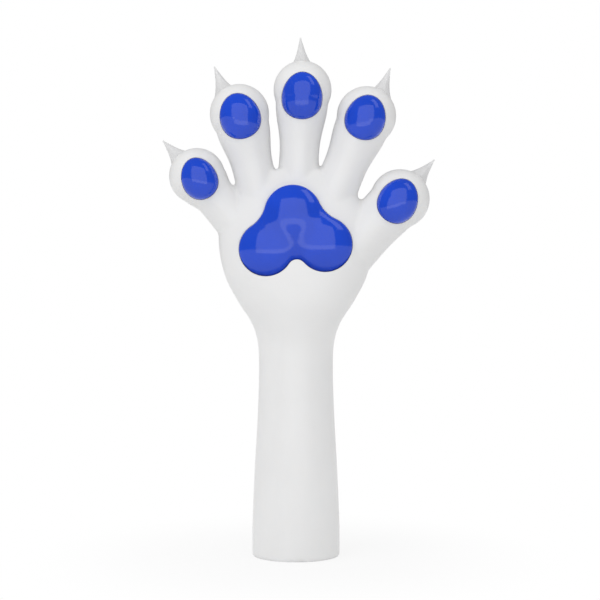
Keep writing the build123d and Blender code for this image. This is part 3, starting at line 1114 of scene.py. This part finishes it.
class PAW_OT_shells(bpy.types.Operator):
    """Palm shell and back shell of the hollow white body"""

    bl_idname = "paw.shells"
    bl_label = "Shells"

    def execute(self, context):
        sizes = context.scene.paw_sizes
        form = body_form("body_form", sizes)
        hollow = inner_form(form, sizes)
        palm = make_palm_shell(form, hollow, sizes, context.scene.paw_pads)
        back = make_back_shell(form, hollow, sizes)
        bpy.data.objects.remove(form)
        for piece, node in ((palm, "palm_shell"), (back, "back_shell")):
            crisp(piece, SHELL_CREASE)
            dress(piece, "white_shell_plastic")
            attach(piece, BODY)
            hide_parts(node)
        return {"FINISHED"}


class PAW_OT_pads(bpy.types.Operator):
    """Five toe pads and the three-lobed palm pad"""

    bl_idname = "paw.pads"
    bl_label = "Pads"

    def execute(self, context):
        sizes = context.scene.paw_pads
        pads = [(make_toe_pad(index, sizes), node) for index, node in enumerate(PAD_NODES)]
        pads.append((make_palm_pad(sizes), "palm_pad"))
        for piece, node in pads:
            dress(piece, "blue_pad_rubber")
            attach(piece, BODY)
            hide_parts(node)
        return {"FINISHED"}


class PAW_OT_claws(bpy.types.Operator):
    """Five pale claws"""

    bl_idname = "paw.claws"
    bl_label = "Claws"

    def execute(self, context):
        for index, node in enumerate(CLAW_NODES):
            piece = make_claw(index)
            dress(piece, "pale_claw_plastic")
            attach(piece, BODY)
            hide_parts(node)
        return {"FINISHED"}


class PAW_OT_fittings(bpy.types.Operator):
    """Finish of the screws and of the bung"""

    bl_idname = "paw.fittings"
    bl_label = "Screws and bung"

    def execute(self, context):
        finishes = (
            ("shell_screws", "zinc_screw_steel", "screw"),
            ("end_plug", "grey_bung_rubber", "bung"),
        )
        for node, finish, slot in finishes:
            dress(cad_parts[node], finish)
        return {"FINISHED"}


class PAW_PT_panel(bpy.types.Panel):
    """Buttons that build the paw piece by piece"""

    bl_idname = "PAW_PT_panel"
    bl_label = "Cat Paw"
    bl_space_type = "VIEW_3D"
    bl_region_type = "UI"
    bl_category = "Cat Paw"

    def draw(self, context):
        for name in ("stage", "shells", "pads", "claws", "fittings"):
            self.layout.operator(f"paw.{name}")
        for group in (context.scene.paw_sizes, context.scene.paw_pads, context.scene.paw_colours):
            column = self.layout.column()
            for name in group.bl_rna.properties.keys():
                if name not in ("rna_type", "name"):
                    column.prop(group, name)


# ---- Stage ------------------------------------------------------------------------------------
FLOOR_HALF = 3.0
FLOOR_GREY = 0.86
# The floor glows less within the first distance of the foot, so that the shadow shows there.
GLOW_NEAR = 0.80
GLOW_FROM = 30.0
GLOW_FULL = 130.0
FRONT_BOX = (0.80, 1.15)
TOP_BOX = (0.7, 0.7)
EDGE_BOX = (0.30, 0.55)


def build_floor():
    """A pale floor that glows to the camera and in reflections, and is clear from below."""
    bm = bmesh.new()
    bmesh.ops.create_grid(bm, x_segments=2, y_segments=2, size=FLOOR_HALF)
    floor = new_piece("studio_floor", bm)
    material = bpy.data.materials.new("pale_floor")
    material.use_nodes = True
    tree = material.node_tree
    tree.nodes.clear()
    out = add_node(tree, "ShaderNodeOutputMaterial", (600, 0))
    matt = add_node(tree, "ShaderNodeBsdfDiffuse", (-200, -100))
    matt.inputs["Color"].default_value = (FLOOR_GREY, FLOOR_GREY, FLOOR_GREY, 1.0)
    glow = add_node(tree, "ShaderNodeEmission", (-200, 100))
    clear = add_node(tree, "ShaderNodeBsdfTransparent", (0, -250))
    path = add_node(tree, "ShaderNodeLightPath", (-600, 300))
    seen = add_node(tree, "ShaderNodeMath", (-400, 300), operation="MAXIMUM")
    share = add_node(tree, "ShaderNodeMath", (-200, 300), operation="MULTIPLY")
    place = add_node(tree, "ShaderNodeTexCoord", (-1000, 60))
    away = add_node(tree, "ShaderNodeVectorMath", (-800, 60), operation="LENGTH")
    fade = add_node(tree, "ShaderNodeMapRange", (-600, 60), interpolation_type="SMOOTHSTEP")
    fade.inputs["From Min"].default_value = GLOW_FROM * MM
    fade.inputs["From Max"].default_value = GLOW_FULL * MM
    fade.inputs["To Min"].default_value = GLOW_NEAR
    face = add_node(tree, "ShaderNodeNewGeometry", (0, 300))
    lit = add_node(tree, "ShaderNodeMixShader", (100, 0))
    sided = add_node(tree, "ShaderNodeMixShader", (350, 0))
    link = tree.links.new
    link(path.outputs["Is Camera Ray"], seen.inputs[0])
    link(path.outputs["Is Glossy Ray"], seen.inputs[1])
    link(seen.outputs["Value"], share.inputs[0])
    link(place.outputs["Object"], away.inputs[0])
    link(away.outputs["Value"], fade.inputs["Value"])
    link(fade.outputs["Result"], share.inputs[1])
    link(share.outputs["Value"], lit.inputs["Fac"])
    link(matt.outputs["BSDF"], lit.inputs[1])
    link(glow.outputs["Emission"], lit.inputs[2])
    link(face.outputs["Backfacing"], sided.inputs["Fac"])
    link(lit.outputs["Shader"], sided.inputs[1])
    link(clear.outputs["BSDF"], sided.inputs[2])
    link(sided.outputs["Shader"], out.inputs["Surface"])
    floor.data.materials.append(material)


def build_sky(stage):
    """Even light from all round, which the camera sees as white and reflections as dimmer."""
    world = bpy.data.worlds.new("studio_sky")
    bpy.context.scene.world = world
    world.use_nodes = True
    tree = world.node_tree
    sky = tree.nodes["Background"]
    path = add_node(tree, "ShaderNodeLightPath", (-900, 200))
    gloss = add_node(tree, "ShaderNodeMapRange", (-600, 200))
    gloss.inputs["To Min"].default_value = stage.sky
    gloss.inputs["To Max"].default_value = stage.sky_sheen
    strength = add_node(tree, "ShaderNodeMapRange", (-300, 200))
    strength.inputs["To Max"].default_value = 1.0
    tree.links.new(path.outputs["Is Glossy Ray"], gloss.inputs["Value"])
    tree.links.new(gloss.outputs["Result"], strength.inputs["To Min"])
    tree.links.new(path.outputs["Is Camera Ray"], strength.inputs["Value"])
    tree.links.new(strength.outputs["Result"], sky.inputs["Strength"])
    sky.inputs["Color"].default_value = (1.0, 1.0, 1.0, 1.0)


def softbox(name, place, aim, size, brightness, lights="all"):
    """A rectangular area light of a plain brightness, turned towards a point.

    It lights everything, only matt surfaces ("form") or only reflections ("sheen").
    """
    width, height = size
    light = bpy.data.lights.new(name, "AREA")
    light.shape = "RECTANGLE"
    light.size = width
    light.size_y = height
    light.energy = brightness * pi * width * height
    lamp = bpy.data.objects.new(name, light)
    bpy.context.scene.collection.objects.link(lamp)
    lamp.location = place
    lamp.rotation_euler = (Vector(aim) - Vector(place)).to_track_quat("-Z", "Y").to_euler()
    lamp.visible_camera = False
    lamp.visible_diffuse = lights != "sheen"
    lamp.visible_glossy = lights != "form"


def build_lights(stage):
    middle = Vector((stage.aim_x, 0, stage.aim_z))
    front = middle + Vector((0.0, -stage.distance - 0.1, 0.04))
    softbox("front_softbox", front, middle, FRONT_BOX, stage.key)
    card = front + Vector((0.0, 0.001, 0.0))
    softbox("front_card", card, middle, FRONT_BOX, stage.card, lights="sheen")
    upper_left = middle + Vector((-0.5, -0.5, 0.75))
    softbox("upper_left_softbox", upper_left, middle, TOP_BOX, stage.top, lights="form")
    upper_right = middle + Vector((0.50, -0.42, 0.72))
    softbox("upper_right_softbox", upper_right, middle, EDGE_BOX, stage.edge, lights="sheen")


def build_camera(stage):
    camera_data = bpy.data.cameras.new("front_camera")
    camera_data.sensor_width = 36.0
    camera_data.angle = stage.view_angle
    camera = bpy.data.objects.new("front_camera", camera_data)
    bpy.context.scene.collection.objects.link(camera)
    camera.location = (stage.aim_x, -stage.distance, stage.aim_z)
    camera.rotation_euler = (pi / 2, 0, 0)
    camera_data.clip_start = 0.01
    bpy.context.scene.camera = camera


# ---- Registration -----------------------------------------------------------------------------
CLASSES = (
    PawSizes,
    PadSizes,
    PawColours,
    StageSettings,
    PAW_OT_stage,
    PAW_OT_shells,
    PAW_OT_pads,
    PAW_OT_claws,
    PAW_OT_fittings,
    PAW_PT_panel,
)


def register():
    for item in CLASSES:
        bpy.utils.register_class(item)
    bpy.types.Scene.paw_sizes = bpy.props.PointerProperty(type=PawSizes)
    bpy.types.Scene.paw_pads = bpy.props.PointerProperty(type=PadSizes)
    bpy.types.Scene.paw_colours = bpy.props.PointerProperty(type=PawColours)
    bpy.types.Scene.paw_stage = bpy.props.PointerProperty(type=StageSettings)


def unregister():
    for name in ("paw_sizes", "paw_pads", "paw_colours", "paw_stage"):
        delattr(bpy.types.Scene, name)
    for item in reversed(CLASSES):
        bpy.utils.unregister_class(item)


def main():
    register()
    bpy.ops.paw.stage()
    bpy.ops.paw.shells()
    bpy.ops.paw.pads()
    bpy.ops.paw.claws()
    bpy.ops.paw.fittings()


if __name__ == "__main__":
    main()
